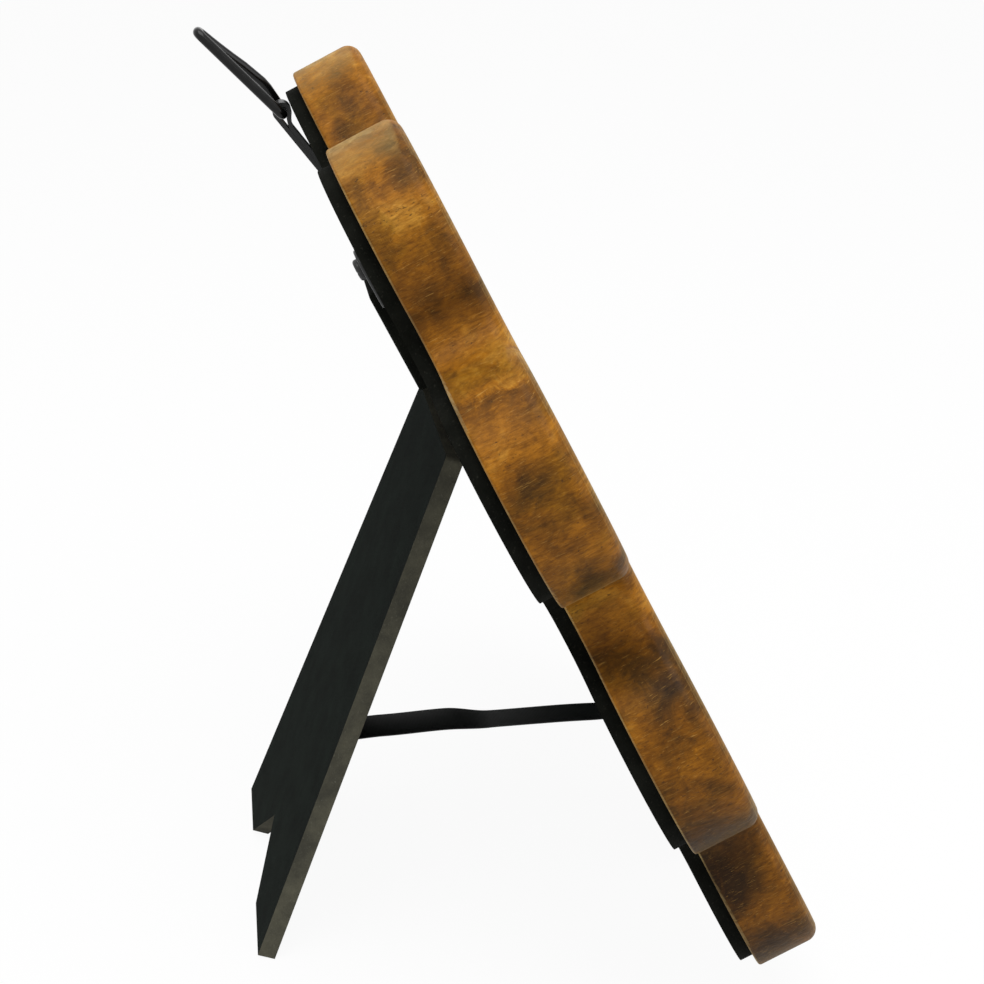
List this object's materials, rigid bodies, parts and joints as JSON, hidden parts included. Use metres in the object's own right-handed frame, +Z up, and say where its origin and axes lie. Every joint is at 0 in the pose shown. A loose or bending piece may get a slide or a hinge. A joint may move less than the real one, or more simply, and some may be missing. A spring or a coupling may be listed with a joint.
{
  "type": "easel back photo frame",
  "caption": "Flower shaped wooden photo frame that leans back on a hinged easel leg held by a ribbon, with turn buttons on its black back and a wire hanging ring.",
  "frame": {"origin": "centre of the footprint on the floor", "axes": "+Z up, the frame's front faces -Y and leans back towards +Y, +X is the viewer's right from the front"},
  "size_m": [0.2778, 0.1698, 0.27],
  "materials": {
    "mango_wood": "waxed, honey brown",
    "black_board": "black painted fibreboard",
    "nail_steel": "plain steel",
    "black_steel": "black, satin",
    "black_wire": "black, gloss",
    "ribbon": "black satin weave",
    "glass": "clear float glass",
    "photo_paper": "plain ivory paper",
    "card": "grey board"
  },
  "bodies": {
    "frame": {"wood_frame": "mango_wood", "rear_board": "black_board", "back_door": "black_board", "board_nails": "nail_steel", "button_screws": "black_steel", "hinge_door_leaf": "black_steel", "hinge_pin": "black_steel", "door_rivets": "black_steel", "stay_ribbon": "ribbon", "ribbon_staple_door": "nail_steel", "hanger_strap": "black_steel", "hanger_screw": "black_steel", "glass_pane": "glass", "photo_insert": "photo_paper", "backing_card": "card"},
    "leg": {"easel_leg": "black_board", "hinge_leg_leaf": "black_steel", "leg_rivets": "black_steel", "ribbon_staple_leg": "nail_steel"},
    "ring": {"hanger_ring": "black_wire"},
    "button_top_left": {"turn_button_top_left": "black_steel"},
    "button_top_right": {"turn_button_top_right": "black_steel"},
    "button_bottom_left": {"turn_button_bottom_left": "black_steel"},
    "button_bottom_right": {"turn_button_bottom_right": "black_steel"}
  },
  "joints": [
    {"name": "leg_hinge", "type": "hinge", "parent": "frame", "child": "leg", "pos_m": [0, 0.01635, 0.15601], "axis": [1, 0, 0], "range_deg": [-46.5, 0], "deforming": ["stay_ribbon"]},
    {"name": "hanger_ring_swing", "type": "hinge", "parent": "frame", "child": "ring", "pos_m": [0, 0.06195, 0.24714], "axis": [1, 0, 0], "range_deg": [-157, 18.7]},
    {"name": "button_top_left_turn", "type": "hinge", "parent": "frame", "child": "button_top_left", "pos_m": [-0.058, 0.04529, 0.21633], "axis": [0, -0.8957, 0.4446], "continuous": true},
    {"name": "button_top_right_turn", "type": "hinge", "parent": "frame", "child": "button_top_right", "pos_m": [0.058, 0.04529, 0.21633], "axis": [0, -0.8957, 0.4446], "continuous": true},
    {"name": "button_bottom_left_turn", "type": "hinge", "parent": "frame", "child": "button_bottom_left", "pos_m": [-0.058, -0.04231, 0.03988], "axis": [0, -0.8957, 0.4446], "continuous": true},
    {"name": "button_bottom_right_turn", "type": "hinge", "parent": "frame", "child": "button_bottom_right", "pos_m": [0.058, -0.04231, 0.03988], "axis": [0, -0.8957, 0.4446], "continuous": true}
  ]
}
